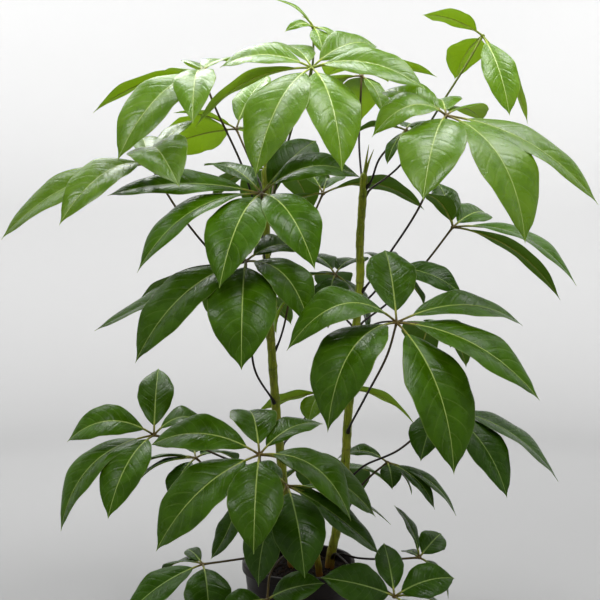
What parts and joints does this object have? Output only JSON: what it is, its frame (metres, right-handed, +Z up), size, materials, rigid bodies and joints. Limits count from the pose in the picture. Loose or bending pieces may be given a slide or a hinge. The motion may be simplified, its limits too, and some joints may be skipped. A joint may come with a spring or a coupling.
{
  "type": "potted umbrella plant",
  "caption": "Potted umbrella plant: tall woody canes in a round tapered nursery pot, with long-stalked palmate leaves of glossy drooping leaflets.",
  "frame": {"origin": "centre of the pot's flat underside", "axes": "+Z up along the pot's axis and the canes, -Y the side seen in the picture, +X to its right"},
  "size_m": [0.973, 0.6935, 1.16],
  "materials": {
    "pot_plastic": "moulded black-brown polypropylene, satin",
    "soil": "damp peat and bark compost",
    "bark": "young olive-green bark with leaf scars",
    "foliage_fresh": "fresh, thin, glossy leaf",
    "foliage_full": "full-grown glossy leaf",
    "foliage_deep": "old, dark, glossy leaf"
  },
  "bodies": {
    "root": {"pot": "pot_plastic", "soil": "soil", "cane_left": "bark", "cane_right": "bark", "cane_low": "bark", "leaf_young_top": "foliage_fresh", "leaf_top_right": "foliage_fresh", "leaf_crown": "foliage_fresh", "leaf_crown_left": "foliage_fresh", "leaf_crown_right": "foliage_fresh", "leaf_back_left_high": "foliage_fresh", "leaf_left_high": "foliage_fresh", "leaf_inner_right_high": "foliage_full", "leaf_back_right_high": "foliage_fresh", "leaf_right_high": "foliage_full", "leaf_back_high": "foliage_full", "leaf_front_high": "foliage_full", "leaf_front_left_middle": "foliage_full", "leaf_small_middle": "foliage_fresh", "leaf_front_right_middle": "foliage_full", "leaf_right_middle_small": "foliage_deep", "leaf_back_middle": "foliage_deep", "leaf_back_low": "foliage_fresh", "leaf_right_low": "foliage_deep", "leaf_right_low_small": "foliage_deep", "leaf_left_low": "foliage_full", "leaf_back_left_low": "foliage_deep", "leaf_left_low_small": "foliage_deep", "leaf_front_low": "foliage_full", "leaf_front_low_inner": "foliage_deep", "leaf_right_base": "foliage_deep", "leaf_front_right_base": "foliage_deep", "leaf_front_base": "foliage_deep", "leaf_left_base": "foliage_deep", "leaf_rear_high": "foliage_full", "leaf_rear_middle": "foliage_full", "leaf_rear_right": "foliage_full", "leaf_rear_low": "foliage_deep"}
  },
  "joints": []
}
